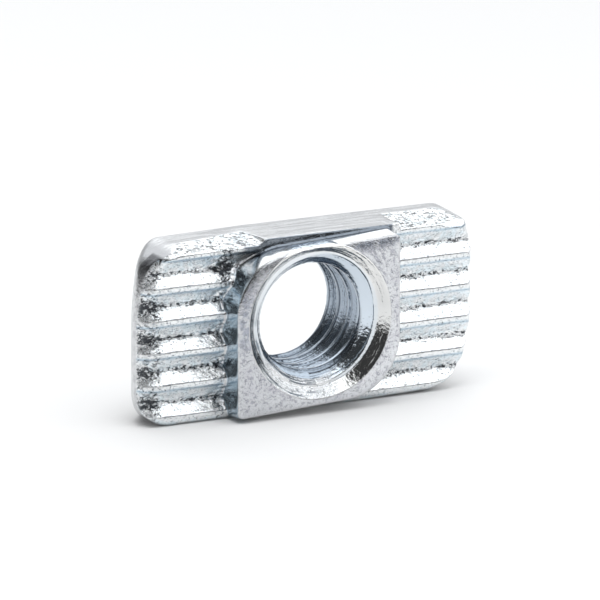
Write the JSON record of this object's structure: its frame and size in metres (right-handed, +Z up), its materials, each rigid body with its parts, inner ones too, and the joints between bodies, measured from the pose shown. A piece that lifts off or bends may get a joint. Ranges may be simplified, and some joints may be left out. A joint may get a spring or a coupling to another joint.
{
  "type": "t slot nut",
  "caption": "Hammer-head T slot nut: oblong plate with swept ends, pressed serrations along its wings and a raised square boss with a tapped, countersunk bore.",
  "frame": {"origin": "middle of the nut's bounding box at the level of its lower long edge, on which it stands", "axes": "+X along the nut's length, +Y from the boss towards the plain back, +Z up its width"},
  "size_m": [0.0164, 0.0044, 0.008],
  "materials": {
    "zinc_plated_steel": "bright zinc plate over pressed steel, fine grain and pits"
  },
  "bodies": {
    "root": {"nut_body": "zinc_plated_steel"}
  },
  "joints": []
}
